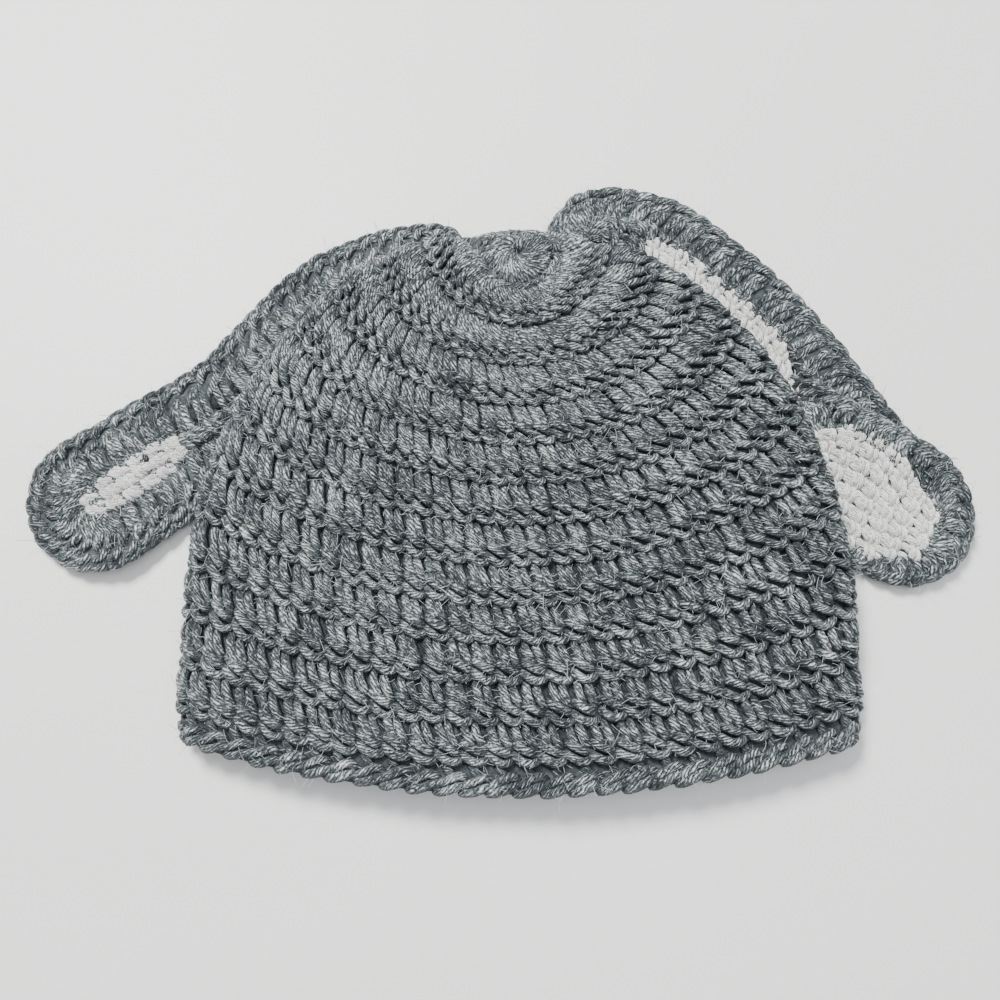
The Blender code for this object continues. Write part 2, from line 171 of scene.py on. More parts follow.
# Distances between stitches and between rows, in millimetres
ROUND_PITCH = [5.4, 4.5, 4.7, 5.0, 5.2, 5.4, 5.6, 5.8, 6.0, 6.3, 6.6, 6.8, 6.8, 6.9]
LEFT_PITCH, RIGHT_PITCH, TIP_PITCH = 5.4, 6.2, 6.0
LEFT_PANEL_PITCH, STRIP_PITCH, TIP_PANEL_PITCH, FILL_PITCH = (4.2, 5.6), (4.4, 6.4), (4.2, 6.0), (5.6, 7.5)
PANEL_LOOSE = 1.4

# The most that a stitch, a strand or a point of it strays, in the units of the strands below
MOST_LEAN, MOST_DROP, MOST_SWELL, MOST_SHIFT = 0.05, 0.025, 0.2, 0.03
MOST_STRAY_ACROSS, MOST_STRAY_DOWN = 0.025, 0.012

# Painted shade: heights of strands that count as deep in the cloth, where the yarn is painted darkest, and
# how far above that they stand out fully and get no painted shade
DEEP, STANDS_OUT = -1.9, 2.7

# Painted shade on each strand's sides: the side this many radii below its middle counts as deep and is
# painted darkest, and the painted shade fades out over this many radii towards its top
SHADED_SIDE, SHADE_REACH = 0.40, 1.25

# The loose fibres, with their lengths in millimetres
FIBRE_RADIUS, FIBRE_LENGTHS = 0.06 * MM, (1.2, 3.6)

# Points nearer than SAME_PLACE are one, edges within CROWN_RIM of the crown's middle are closed,
# and each strand's U starts at most LONGEST_START millimetres along the yarn
SAME_PLACE = 1e-6
CROWN_RIM = 0.006
LONGEST_START = 400

# Strands of one tall stitch: across in stitch widths, down in round heights, out in millimetres
TALL_STITCH = [
    [(-0.39, -0.08, -1.2), (-0.37, 0.09, 0.5), (-0.27, 0.26, 1.1), (-0.15, 0.43, 0.6), (-0.06, 0.58, -1.2)],
    [(-0.01, -0.07, -1.3), (0.03, 0.11, 0.4), (0.15, 0.30, 0.9), (0.28, 0.45, 0.3), (0.36, 0.58, -1.3)],
    [(0.40, 0.00, -2.0), (0.46, 0.18, -1.3), (0.50, 0.38, -1.3), (0.54, 0.54, -1.9)],
    [(-0.50, 0.42, -1.6), (-0.36, 0.46, 0.5), (-0.10, 0.56, 1.3), (0.16, 0.64, 0.9), (0.36, 0.70, -1.2)],
    [(-0.56, 0.66, -1.4), (-0.42, 0.74, 0.3), (-0.16, 0.86, 1.0), (0.10, 0.92, 0.9), (0.34, 0.88, 0.2),
     (0.52, 0.76, -1.5)],
]
# The first round: long posts that meet at the crown, and a chain round them
CROWN_STITCH = [
    [(-0.22, 0.03, -1.9), (-0.24, 0.18, 0.0), (-0.26, 0.48, 0.9), (-0.20, 0.74, 0.6), (-0.10, 0.88, -1.2)],
    [(0.22, 0.05, -1.9), (0.22, 0.20, 0.0), (0.24, 0.50, 0.8), (0.30, 0.74, 0.5), (0.36, 0.88, -1.3)],
    [(-0.54, 0.80, -1.4), (-0.30, 0.92, 0.3), (0.00, 0.97, 0.8), (0.30, 0.95, 0.4), (0.52, 0.86, -1.4)],
]
# The edging round: slanted links that lie over the brim's edge
EDGING_STITCH = [
    [(-0.20, -0.30, -1.8), (-0.14, 0.00, -0.4), (0.02, 0.22, -0.3), (0.12, 0.50, -1.4)],
    [(-0.56, 0.62, -0.8), (-0.38, 0.56, 0.3), (-0.08, 0.42, 0.8), (0.22, 0.30, 0.7), (0.42, 0.30, 0.1),
     (0.54, 0.44, -1.0)],
    [(-0.60, 0.80, -0.9), (-0.38, 0.82, 0.1), (-0.06, 0.74, 0.6), (0.26, 0.62, 0.5), (0.54, 0.58, -0.7)],
    [(-0.40, 0.56, -0.9), (0.00, 0.60, -0.5), (0.40, 0.56, -0.9)],
]
# The ear border's stitch, from the rounded tooth on the white panel to the chain along the edge
BORDER_STITCH = [
    [(-0.27, 0.18, -1.0), (-0.31, 0.01, 0.3), (-0.15, -0.12, 0.8), (0.10, -0.12, 0.7), (0.25, 0.02, 0.2),
     (0.26, 0.20, -1.2)],
    [(-0.24, 0.04, -0.6), (-0.26, 0.16, 0.6), (-0.16, 0.34, 0.8), (0.00, 0.52, 0.2), (0.08, 0.64, -1.2)],
    [(0.14, 0.04, -0.8), (0.14, 0.16, 0.5), (0.20, 0.34, 0.5), (0.30, 0.50, -0.1), (0.36, 0.62, -1.3)],
    [(-0.48, 0.42, -1.3), (-0.34, 0.44, 0.3), (-0.06, 0.50, 1.0), (0.18, 0.56, 0.6), (0.38, 0.62, -1.0)],
    [(-0.58, 0.62, -1.2), (-0.42, 0.68, 0.2), (-0.14, 0.75, 0.7), (0.16, 0.77, 0.5), (0.42, 0.72, -0.3),
     (0.56, 0.66, -1.2)],
    [(-0.62, 0.84, -0.9), (-0.40, 0.90, 0.2), (-0.06, 0.94, 0.5), (0.26, 0.92, 0.4), (0.56, 0.86, -0.8)],
    [(-0.60, 1.10, -0.9), (-0.30, 1.14, 0.0), (0.04, 1.16, 0.2), (0.34, 1.14, 0.0), (0.60, 1.08, -0.9)],
]


def smooth(share):
    """0 below 0, 1 above 1, with a soft start and end between."""
    share = min(max(share, 0.0), 1.0)
    return share * share * (3.0 - 2.0 * share)


def hat_place(start):
    """A point given as shares of half the hat's width and half its length."""
    return Vector((start[0] * HAT_WIDTH / 2, start[1] * HAT_LENGTH / 2))


class Route:
    """A smooth middle line through an ear, with its half width along it."""

    STEPS = 12

    def __init__(self, base, rows, length, width):
        points = [base + Vector((x, y)) * length for x, y, _ in rows]
        shares = [share for _, _, share in rows]
        self.half_width = width / 2
        self.points, self.widths = [], []
        for i in range(len(points) - 1):
            before, after = points[max(i - 1, 0)], points[min(i + 2, len(points) - 1)]
            for step in range(self.STEPS):
                t = step / self.STEPS
                self.points.append(self.between(before, points[i], points[i + 1], after, t))
                self.widths.append(shares[i] + (shares[i + 1] - shares[i]) * t)
        self.points.append(points[-1])
        self.widths.append(shares[-1])
        self.along = [0.0]
        for a, b in zip(self.points, self.points[1:]):
            self.along.append(self.along[-1] + (b - a).length)
        self.length = self.along[-1]

    @staticmethod
    def between(before, start, end, after, t):
        """A point on the smooth curve from start to end."""
        leave, arrive = (end - before) / 2, (after - start) / 2
        cube, square = t * t * t, t * t
        return (
            start * (2 * cube - 3 * square + 1)
            + leave * (cube - 2 * square + t)
            + end * (3 * square - 2 * cube)
            + arrive * (cube - square)
        )

    def spot(self, along, across):
        """The place at a distance along the line and to the left of it."""
        i = 0
        while i < len(self.along) - 2 and self.along[i + 1] < along:
            i += 1
        heading = (self.points[i + 1] - self.points[i]).normalized()
        point = self.points[i] + heading * (along - self.along[i])
        return point + Vector((-heading.y, heading.x)) * across

    def half_width_at(self, along):
        return float(np.interp(along, self.along, self.widths)) * self.half_width


LEFT = Route(hat_place(LEFT_BASE), LEFT_ROUTE, LEFT_EAR_LENGTH, LEFT_EAR_WIDTH)
RIGHT = Route(hat_place(RIGHT_BASE), RIGHT_ROUTE, RIGHT_EAR_LENGTH, RIGHT_EAR_WIDTH)
RIGHT_TIP = Route(
    hat_place(RIGHT_TIP_START), RIGHT_TIP_ROUTE, RIGHT_TIP_LENGTH, RIGHT_TIP_WIDTH
)
RIGHT_PANEL = Route(
    hat_place(RIGHT_PANEL_START), RIGHT_PANEL_ROUTE, RIGHT_EAR_LENGTH, RIGHT_PANEL_WIDTH
)


def node_tree_of(name):
    """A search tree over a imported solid."""
    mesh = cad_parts[name].data
    verts = [v.co for v in mesh.vertices]
    return BVHTree.FromPolygons(verts, [list(p.vertices) for p in mesh.polygons])


HAT_TREE = node_tree_of("hat_body")


def shoulder_share(y):
    """0 along the hat's straight sides and 1 at its top."""
    return max(y - (HAT_LENGTH / 2 - SHOULDER_LENGTH), 0.0) / SHOULDER_LENGTH


def outline_ratio(x, y):
    """0 at the middle of the hat and 1 on its outline seen from above."""
    power = SHOULDER_ROUNDNESS
    return ((abs(x) / (HAT_WIDTH / 2)) ** power + shoulder_share(y) ** power) ** (1 / power)


def outline_half_width(y):
    """Half the width of the outline at y."""
    power = SHOULDER_ROUNDNESS
    return HAT_WIDTH / 2 * max(1 - shoulder_share(y) ** power, 0.0) ** (1 / power)


def outline_y(x):
    """The outline's y towards the crown at x."""
    power = SHOULDER_ROUNDNESS
    share = (1 - (abs(x) / (HAT_WIDTH / 2)) ** power) ** (1 / power)
    return HAT_LENGTH / 2 - SHOULDER_LENGTH * (1 - share)


def hat_point(x, y, upper, spread=1.0):
    """A point of the hat's outside over (x, y)."""
    ratio = min(max(outline_ratio(x / spread, y), SAME_PLACE), 1.0)
    middle = Vector((0.0, min(y, HAT_LENGTH / 2 - SHOULDER_LENGTH)))
    spoke = Vector((x, y)) - middle
    full = spoke.length / ratio if spoke.length > SAME_PLACE else HAT_WIDTH / 2 * spread
    inner = middle + spoke * min(1.0, FARTHEST_OUT / ratio)
    inner.y = max(inner.y, -LOWEST_RAY)
    hit = HAT_TREE.ray_cast(Vector((inner.x, inner.y, RAY_START)), Vector((0, 0, 1)))[0]
    low = max(hit.z, 0.0) if hit else 0.0
    to_brim = smooth((HAT_LENGTH / 2 - y) / HAT_LENGTH)
    high = HAT_HEIGHT + (BRIM_HEIGHT - HAT_HEIGHT) * to_brim
    high *= 1 - FOLD_THINNING * (abs(x) / (HAT_WIDTH / 2)) ** 4
    high = max(high, low + 2 * FABRIC + LEAST_HOLLOW)
    to_edge, radius = full * (1 - ratio), (high - low) / 2
    rise = radius
    if to_edge < radius:
        rise = math.sqrt(max(radius**2 - (radius - to_edge) ** 2, 0.0))
    pinch = gathered(x, y) if upper else 0.0
    return (x, y, (low + high) / 2 + (rise - pinch if upper else -rise))


def ring_angles():
    """Even angles round a loop, the upper layer's first."""
    return [2 * math.pi * k / RING_STEPS for k in range(RING_STEPS)]


def hat_ring(position):
    """The loop at the end of a round, or between two rounds."""
    i = min(int(position), len(ROUNDS) - 2)
    front, side, back, bend, spread = ROUNDS[i] + (ROUNDS[i + 1] - ROUNDS[i]) * (position - i)
    top = HAT_LENGTH / 2
    side_y = top - side * HAT_LENGTH
    half = outline_half_width(side_y) * spread
    loop = []
    for k, angle in enumerate(ring_angles()):
        upper = k <= RING_STEPS // 2
        middle_y = top - (front if upper else back) * HAT_LENGTH
        arc = abs(math.sin(angle)) ** (2 * bend)
        loop.append(hat_point(-math.cos(angle) * half, side_y + (middle_y - side_y) * arc, upper, spread))
    return np.array(loop)


def gathered(x, y):
    """How far the cloth is pinched in at the spots beside the crown where the ears are sewn."""
    depth = 0.0
    for spot_x, spot_y in GATHERS:
        away = math.hypot(x - spot_x, y - spot_y)
        depth += GATHER_DEPTH * math.exp(-((away / GATHER_REACH) ** 2))
    return depth


def crown_ring(share):
    """The loop round the crown's middle at a share of the first round."""
    pole_y = HAT_LENGTH / 2 - POLE * HAT_LENGTH
    loop = []
    for k, angle in enumerate(ring_angles()):
        reach = (FIRST_ROUND if k <= RING_STEPS // 2 else FIRST_BACK) * HAT_LENGTH * share
        x = -math.cos(angle) * FIRST_ROUND * HAT_LENGTH * share
        loop.append(hat_point(x, pole_y - math.sin(angle) * reach, True))
    return np.array(loop)


def fold_ring():
    """The loop between the first and second rounds, along the crown fold."""
    half = FOLD_HALF_WIDTH * HAT_WIDTH / 2
    side_y = outline_y(half)
    front_y = HAT_LENGTH / 2 - (POLE + FIRST_ROUND + ROUNDS[0][0]) / 2 * HAT_LENGTH
    loop = []
    for k, angle in enumerate(ring_angles()):
        x = -math.cos(angle) * half
        upper = k <= RING_STEPS // 2
        y = side_y + (front_y - side_y) * math.sin(angle) if upper else outline_y(x)
        loop.append(hat_point(x, y, True))
    return np.array(loop)


def even_loop(loop, count):
    """A closed loop's points again, evenly spaced along it."""
    closed = np.vstack([loop, loop[:1]])
    run = np.concatenate([[0], np.cumsum(np.linalg.norm(np.diff(closed, axis=0), axis=1))])
    at = np.linspace(0, run[-1], count, endpoint=False)
    return np.stack([np.interp(at, run, closed[:, k]) for k in range(3)], axis=1), run[-1]


class Cloth:
    """A surface as a grid of points. Rows are counted, and columns run from 0 to 1."""

    def __init__(self, grid, rows_each, closed, first_row=0.0):
        self.grid, self.rows_each, self.closed, self.first_row = grid, rows_each, closed, first_row
        if closed:
            across = np.roll(grid, -1, axis=1) - np.roll(grid, 1, axis=1)
        else:
            across = np.gradient(grid, axis=1)
        down = np.gradient(grid, axis=0)
        normals = np.cross(down, across)
        normals /= np.maximum(np.linalg.norm(normals, axis=2, keepdims=True), 1e-12)
        if closed:
            normals = sum(np.roll(normals, shift, axis=1) for shift in (-2, -1, 0, 1, 2))
        self.normals = normals / np.maximum(np.linalg.norm(normals, axis=2, keepdims=True), 1e-12)

    def at(self, column, row):
        """The point and the outward direction at a column and a row."""
        rows, columns = self.grid.shape[:2]
        r = min(max((row - self.first_row) * self.rows_each, 0.0), rows - 1.001)
        if self.closed:
            c = (column % 1.0) * columns
            c0 = int(c) % columns
            c1 = (c0 + 1) % columns
        else:
            c = min(max(column, 0.0), 1.0) * (columns - 1.001)
            c0 = int(c)
            c1 = c0 + 1
        r0, fr, fc = int(r), r - int(r), c - int(c)
        out = []
        for field in (self.grid, self.normals):
            low = field[r0, c0] * (1 - fc) + field[r0, c1] * fc
            high = field[r0 + 1, c0] * (1 - fc) + field[r0 + 1, c1] * fc
            out.append(low * (1 - fr) + high * fr)
        return out[0], out[1] / max(np.linalg.norm(out[1]), 1e-9)


def hat_cloth():
    """The hat's outside, with the length of its loop at each row."""
    steps = HAT_ROW_STEPS
    first, fold, second = crown_ring(1.0), fold_ring(), hat_ring(0.0)
    rows, lengths = [], []
    for k in range((TALL_ROUNDS + 1) * steps + 1):
        u = k / steps
        if u <= 1:
            loop = crown_ring(max(u, CROWN_HOLE))
        elif u <= 1.5:
            loop = first + (fold - first) * (u - 1) * 2
        elif u < 2:
            loop = fold + (second - fold) * (u - 1.5) * 2
        else:
            loop = hat_ring(u - 2)
        even, length = even_loop(loop, HAT_COLUMNS)
        rows.append(even)
        lengths.append(length)
    grid = np.array(rows)
    for _ in range(HAT_SMOOTHINGS):
        grid = grid * 0.5 + np.roll(grid, 1, axis=1) * 0.25 + np.roll(grid, -1, axis=1) * 0.25
        grid[1:-1] = grid[1:-1] * 0.5 + grid[:-2] * 0.25 + grid[2:] * 0.25
    return Cloth(grid, steps, True), lengths[::steps]


def left_lift(along, across):
    """How far the left ear's edges curl up."""
    past_hat = smooth((along / LEFT_EAR_LENGTH - CURL_FROM) / CURL_REACH)
    return LEFT_CURL * past_hat * (across / (LEFT_EAR_WIDTH / 2)) ** 2


def tip_lift(along, across):
    """How far the right ear's tip section rises over its upper section at the pleat."""
    place = RIGHT_TIP.spot(along, across)
    past_hat = smooth((place.x - outline_half_width(place.y) - PLEAT_START) / PLEAT_SLOPE)
    left_over = RIGHT_TIP.length + RIGHT_TIP_WIDTH / 2 - along
    to_tip = smooth(left_over / (PLEAT_FADE * RIGHT_TIP_WIDTH))
    to_edge = smooth((across / RIGHT_TIP_WIDTH - PLEAT_FROM) / PLEAT_REACH)
    return PLEAT_RISE * past_hat * to_tip * to_edge


def tip_panel_lift(along, across):
    """The white panel rises more slowly towards the tip section's raised border."""
    left_over = RIGHT_TIP.length + RIGHT_TIP_WIDTH / 2 - along
    to_tip = smooth(left_over / (PLEAT_FADE * RIGHT_TIP_WIDTH))
    return PLEAT_RISE * to_tip * smooth((across - PANEL_LIFT_FROM) / PANEL_LIFT_REACH)


def level(along, across):
    """No lift."""
    return 0.0


def face_up(cloth, row, column):
    """Turns a cloth's directions over if they point down at a point of its grid."""
    if cloth.normals[row, column, 2] < 0:
        cloth.normals = -cloth.normals
    return cloth


def edge_walk(route, tip, sides):
    """Places round an ear's edge, as distances along and across its route, from the base of its
    first side round the tip to the base of the other."""
    places = []
    stations = np.linspace(0.0, route.length + (0.0 if tip else PAST_END), EDGE_STATIONS)
    if 1 in sides:
        places += [(a, route.half_width_at(a)) for a in stations]
    if tip:
        for angle in np.linspace(4, 176 if -1 in sides else 90, TIP_TURNS):
            turn = math.radians(angle)
            places.append((route.length + tip * math.sin(turn), tip * math.cos(turn)))
    if -1 in sides:
        places += [(a, -route.half_width_at(a)) for a in stations[::-1]]
    return places


def border_cloth(route, lift, border, tip, sides=(1, -1)):
    """The top of an ear's border. Row 0 is its inner edge, row 1 its outermost line, and the
    rows past 1 run under it. border gives its width from the distance along and the side, and
    from None at the tip."""
    outer = edge_walk(route, tip, sides)
    run = [0.0]
    for a, b in zip(outer, outer[1:]):
        run.append(run[-1] + (route.spot(*b) - route.spot(*a)).length)
    share = np.array(run) / run[-1]
    even = np.linspace(0, 1, BORDER_COLUMNS)
    alongs = np.interp(even, share, [p[0] for p in outer])
    acrosses = np.interp(even, share, [p[1] for p in outer])
    radius = EAR_THICKNESS / 2
    rows = np.linspace(BORDER_FROM_ROW, BORDER_TO_ROW, BORDER_ROWS)
    grid = np.zeros((BORDER_ROWS, BORDER_COLUMNS, 3))
    for c, (along, across) in enumerate(zip(alongs, acrosses)):
        past = max(along - route.length, 0.0)
        side = across / (tip or route.half_width)
        to_side = abs(math.atan2(abs(across), max(past, SAME_PLACE))) / (math.pi / 2) if past else 1.0
        width = border(None, 0) + (border(along, 1 if side > 0 else -1) - border(None, 0)) * to_side
        reach = math.hypot(across, past)
        for r, row in enumerate(rows):
            arc = radius * math.pi / 2
            flat = width - radius
            down = min(row, 2 - row)
            travel = down * (flat + arc)
            if travel <= flat:
                from_edge, height = width - travel, radius
            else:
                turn = (travel - flat) / radius
                from_edge = radius * (1 - math.sin(turn))
                height = radius * math.cos(turn)
            if row > 1:
                height = -height
            scale = max(reach - from_edge, 0.0) / max(reach, SAME_PLACE)
            a = along - past * (1 - scale)
            s = across * scale
            place = route.spot(a, s)
            grid[r, c] = (place.x, place.y, radius + height + lift(a, s))
    cloth = Cloth(grid, 1 / (rows[1] - rows[0]), False, first_row=BORDER_FROM_ROW)
    return face_up(cloth, 10, BORDER_COLUMNS // 2), run[-1]


def panel_cloth(route, lift, edges, start, end):
    """The top of a white panel. Columns run across it, and rows along it in millimetres. edges
    gives how far it reaches to the left and the right of the route at a distance along."""
    grid = np.zeros((PANEL_STEPS, PANEL_COLUMNS, 3))
    for r, along in enumerate(np.linspace(start, end, PANEL_STEPS)):
        left, right = edges(along)
        for c in range(PANEL_COLUMNS):
            share = c / (PANEL_COLUMNS - 1)
            across = left + (right - left) * share
            place = route.spot(along, across)
            crown = PANEL_CROWN - PANEL_FALL * abs(1 - 2 * share) ** 4
            grid[r, c] = (place.x, place.y, PANEL_TOP + crown + lift(along, across))
    cloth = Cloth(grid, (PANEL_STEPS - 1) / ((end - start) / MM), False)
    return face_up(cloth, PANEL_STEPS // 2, PANEL_COLUMNS // 2)


def smooth_path(points):
    """A finer path through the same points."""
    pts = np.vstack([2 * points[0] - points[1], points, 2 * points[-1] - points[-2]])
    out = []
    for i in range(1, len(pts) - 2):
        p0, p1, p2, p3 = pts[i - 1:i + 3]
        for k in range(PATH_STEPS):
            t = k / PATH_STEPS
            out.append(0.5 * (2 * p1 + (p2 - p0) * t + (2 * p0 - 5 * p1 + 4 * p2 - p3) * t**2
                              + (3 * p1 - p0 - 3 * p2 + p3) * t**3))
    out.append(pts[-2])
    return np.array(out)


def new_piece(name, mesh, material):
    """A mesh as a visible piece of the part, in one material."""
    mesh.materials.clear()
    mesh.materials.append(material)
    mesh.shade_smooth()
    piece = bpy.data.objects.new(name, mesh)
    bpy.context.scene.collection.objects.link(piece)
    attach(piece, "root")
    return piece


class Yarn:
    """Strands of yarn that become one mesh, with a UV map in millimetres along each strand."""

    def __init__(self, name, radius=YARN_RADIUS, resolution=1, seed=1):
        self.name, self.radius, self.resolution = name, radius, resolution
        self.paths, self.thickness, self.rises, self.facings = [], [], [], []
        self.rng = random.Random(seed)

    def add(self, points, thickness=1.0, rise=None, facing=None):
        """Adds a strand. rise is its painted shade: 0 where it lies deep in the cloth and is painted
        darkest, and 1 where it stands out and gets none.
        """
        self.paths.append(points)
        self.thickness.append(thickness)
        self.rises.append(np.ones(len(points)) if rise is None else rise)
        self.facings.append(np.tile((0.0, 0.0, 1.0), (len(points), 1)) if facing is None else facing)

    def build(self, material, slot):
        """Makes the strands a piece. Its curve is only there for a moment."""
        curve = bpy.data.curves.new(self.name, "CURVE")
        curve.dimensions = "3D"
        curve.bevel_depth = self.radius
        curve.bevel_resolution = self.resolution
        curve.use_fill_caps = True
        for points, thickness in zip(self.paths, self.thickness):
            spline = curve.splines.new("POLY")
            spline.points.add(len(points) - 1)
            spline.points.foreach_set("co", np.column_stack([points, np.ones(len(points))]).ravel())
            spline.points.foreach_set("radius", np.full(len(points), thickness))
        rope = bpy.data.objects.new(self.name + "_curve", curve)
        bpy.context.scene.collection.objects.link(rope)
        graph = bpy.context.evaluated_depsgraph_get()
        mesh = bpy.data.meshes.new_from_object(rope.evaluated_get(graph))
        bpy.data.objects.remove(rope)
        bpy.data.curves.remove(curve)
        self.finish_maps(mesh)
        mesh.name = self.name
        return new_piece(self.name, mesh, material)

    def finish_maps(self, mesh):
        """Makes each strand's U its length in millimetres, and writes how far each side of it
        stands out, as the 'rise' attribute that paints shade on it: darker where the strand lies deep in
        the cloth and on its side that faces into it. The mesh has all strands' caps first, from the last
        strand to the first."""
        sides = 2 * self.resolution + 4
        counts = np.array([len(points) for points in self.paths])
        strands = np.arange(len(counts))
        strand_of = np.concatenate([np.repeat(strands[::-1], 2 * sides), np.repeat(strands, counts * sides)])
        lengths = [np.linalg.norm(np.diff(points, axis=0), axis=1).sum() / MM for points in self.paths]
        starts = [self.rng.uniform(0, LONGEST_START) for _ in self.paths]
        corner = np.empty(len(mesh.loops), dtype=np.int32)
        mesh.loops.foreach_get("vertex_index", corner)
        uv = np.empty(len(mesh.loops) * 2, dtype=np.float32)
        layer = mesh.uv_layers[0]
        layer.uv.foreach_get("vector", uv)
        strand = strand_of[corner]
        along = uv[0::2] * (counts[strand] - 1)
        before = np.minimum(along.astype(int), counts[strand] - 2)
        table = np.column_stack([np.concatenate(self.rises), np.vstack(self.facings), np.vstack(self.paths)])
        row = (np.cumsum(counts) - counts)[strand] + before
        here = table[row] + (table[row + 1] - table[row]) * (along - before)[:, None]
        places = np.empty(len(mesh.vertices) * 3, dtype=np.float32)
        mesh.vertices.foreach_get("co", places)
        side = ((places.reshape(-1, 3)[corner] - here[:, 4:]) * here[:, 1:4]).sum(axis=1) / self.radius
        rise = np.zeros(len(mesh.vertices), dtype=np.float32)
        # Painted shade: each side of a strand is darker the deeper the strand lies and the more that side
        # faces into the cloth.
        rise[corner] = here[:, 0] * np.clip((side + SHADED_SIDE) / SHADE_REACH, 0.0, 1.0)
        mesh.attributes.new("rise", "FLOAT", "POINT").data.foreach_set("value", rise)
        uv[0::2] = uv[0::2] * np.array(lengths)[strand] + np.array(starts)[strand]
        layer.uv.foreach_set("vector", uv)


def lay_stitch(yarn, cloth, strands, column, row, wide, tall, out=1.0, loose=1.0, sink=STITCH_SINK):
    """Lays one stitch's strands on a cloth, a little unlike its neighbours."""

    def stray(most):
        return yarn.rng.uniform(-most, most) * loose

    lean = stray(MOST_LEAN)
    drop = stray(MOST_DROP)
    for strand in strands:
        points = []
        swell = stray(MOST_SWELL)
        shift = stray(MOST_SHIFT)
        for s, t, h in strand:
            s += lean + shift + stray(MOST_STRAY_ACROSS)
            t += drop + stray(MOST_STRAY_DOWN)
            point, normal = cloth.at(column + s * wide, row + t * tall)
            point = point + normal * ((h + swell) * MM * out - sink)
            point[2] = max(point[2], yarn.radius * LEAST_HEIGHT)
            # The strand's painted shade from how deep it lies, and the cloth's outward direction for
            # painting shade on its sides.
            points.append((*point, (h - DEEP) / STANDS_OUT, *normal))
        path = smooth_path(np.array(points))
        thickness = yarn.rng.uniform(*THICKNESSES)
        yarn.add(path[:, :3], thickness, np.clip(path[:, 3], 0.0, 1.0), path[:, 4:])


class Wire:
    """A number in a shader tree, so that sums on it can be written out."""

    def __init__(self, shader, socket):
        self.shader, self.socket = shader, socket

    def maths(self, operation, *values, clamp=False):
        """The result of a maths node that starts from this number."""
        settings = {"operation": operation, "use_clamp": clamp}
        inputs = {0: self, **dict(enumerate(values, 1))}
        return Wire(self.shader, self.shader.node("ShaderNodeMath", settings, inputs).outputs[0])

    def clamped(self):
        """The number, kept from 0 to 1."""
        return self.maths("MULTIPLY", 1.0, clamp=True)

    def __add__(self, other):
        return self.maths("ADD", other)

    def __mul__(self, other):
        return self.maths("MULTIPLY", other)

    __radd__ = __add__
    __rmul__ = __mul__

    def __sub__(self, other):
        return self.maths("SUBTRACT", other)

    def __rsub__(self, other):
        return (self * -1.0) + other

    def __truediv__(self, other):
        return self.maths("DIVIDE", other)

    def __pow__(self, other):
        return self.maths("POWER", other)

    def __abs__(self):
        return self.maths("ABSOLUTE")


class Shader:
    """A material and its nodes."""

    def __init__(self, name):
        self.material = bpy.data.materials.new(name)
        self.material.use_nodes = True
        self.tree = self.material.node_tree
        self.surface = self.tree.nodes["Principled BSDF"]

    def node(self, kind, settings, inputs):
        """A new node of a type, with its settings and with values or links for its inputs."""
        made = self.tree.nodes.new(kind)
        for key, value in settings.items():
            if key == "stops":
                ramp = made.color_ramp
                while len(ramp.elements) < len(value):
                    ramp.elements.new(0.5)
                for element, (place, colour) in zip(ramp.elements, value):
                    element.position, element.color = place, (*colour, 1.0)
            else:
                setattr(made, key, value)
        for key, value in inputs.items():
            self.set(made.inputs[key], value)
        return made

    def set(self, socket, value):
        """Links a socket to a node's result, or gives it a value."""
        if isinstance(value, Wire):
            value = value.socket
        if isinstance(value, bpy.types.NodeSocket):
            self.tree.links.new(value, socket)
        else:
            socket.default_value = value

    def feed(self, **values):
        """Sets inputs of the surface by name."""
        for key, value in values.items():
            self.set(self.surface.inputs[key.replace("_", " ")], value)

    def uv(self):
        """Millimetres along the strand, and turns round it."""
        place = self.node("ShaderNodeUVMap", {"uv_map": "UVMap"}, {})
        parts = self.node("ShaderNodeSeparateXYZ", {}, {0: place.outputs[0]})
        return Wire(self, parts.outputs[0]), Wire(self, parts.outputs[1])

    def noise(self, vector, scale, detail, rough=0.5):
        inputs = {"Vector": vector, "Scale": scale, "Detail": detail, "Roughness": rough}
        return Wire(self, self.node("ShaderNodeTexNoise", {}, inputs).outputs[0])

    def place(self):
        """The place on the part."""
        return self.node("ShaderNodeTexCoord", {}, {}).outputs["Object"]

    def vector(self, x, y, z):
        return self.node("ShaderNodeCombineXYZ", {}, {0: x, 1: y, 2: z}).outputs[0]

    def ramp(self, factor, stops):
        """A colour from stops between 0 and 1."""
        return self.node("ShaderNodeValToRGB", {"stops": stops}, {0: factor}).outputs[0]


